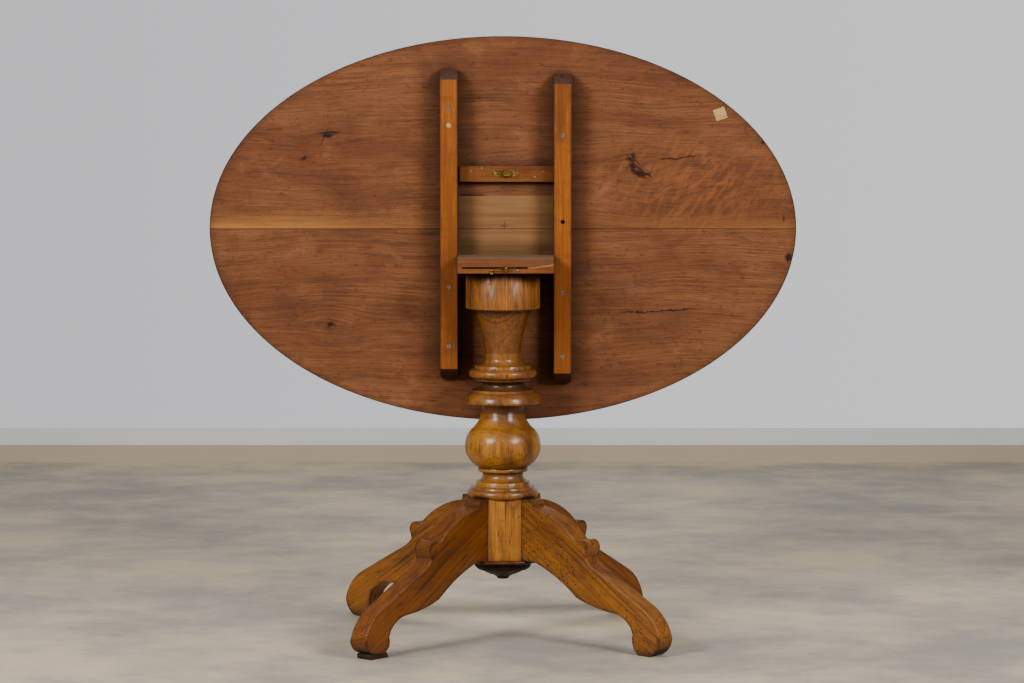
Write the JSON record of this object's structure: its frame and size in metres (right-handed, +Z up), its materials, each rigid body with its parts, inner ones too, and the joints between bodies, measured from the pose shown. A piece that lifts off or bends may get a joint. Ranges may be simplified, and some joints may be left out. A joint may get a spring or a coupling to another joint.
{
  "type": "tilt top table",
  "caption": "Oval top on bearers that tips upright on a pivot block over a turned column with splayed sawn legs; sliding bolt catch.",
  "frame": {"origin": "on the floor under the column's axis, centre of the bounding box's bottom face", "axes": "+Z up, +X along the pivot axis and the oval's long way, -Y the front, where the underside of the upright top faces"},
  "size_m": [1.131, 0.6274, 1.1459],
  "materials": {
    "top_wood": "aged unpolished walnut underside, reddish brown",
    "bearer_wood": "planed golden brown hardwood, worn",
    "column_wood": "wax polished walnut, glossy",
    "leg_wood": "wax polished walnut, glossy",
    "block_wood": "aged walnut, semi-matt",
    "dark_wood": "ebonised, worn",
    "patch_wood": "pale let-in softwood",
    "brass": "aged, rubbed bright on the high parts",
    "steel": "dulled iron with light rust"
  },
  "bodies": {
    "base": {"column": "column_wood", "leg_front_right": "leg_wood", "leg_rear_right": "leg_wood", "leg_rear_left": "leg_wood", "leg_front_left": "leg_wood", "hub_plate": "column_wood", "pendant": "dark_wood", "foot_pad": "dark_wood", "block_lower_board": "block_wood", "block_upper_board": "block_wood", "pivot_pin_left": "steel", "pivot_pin_right": "steel", "catch_guide": "brass", "catch_screws": "brass", "catch_stop": "steel"},
    "top": {"top_board_front": "top_wood", "top_board_rear": "top_wood", "top_patch": "patch_wood", "bearer_left": "bearer_wood", "bearer_right": "bearer_wood", "bearer_plug": "patch_wood", "latch_rail": "bearer_wood", "keeper_plate": "brass", "bearer_screws": "steel", "rail_nails": "steel", "keeper_screws": "brass"},
    "bolt": {"latch_bolt": "brass", "bolt_knob": "brass"}
  },
  "joints": [
    {"name": "top_tilt", "type": "hinge", "parent": "base", "child": "top", "pos_m": [0, 0.063, 0.713], "axis": [1, 0, 0], "range_deg": [0, 90]},
    {"name": "latch_bolt_slide", "type": "slide", "parent": "base", "child": "bolt", "axis": [0, -1, 0], "range_m": [0, 0.0105]}
  ]
}
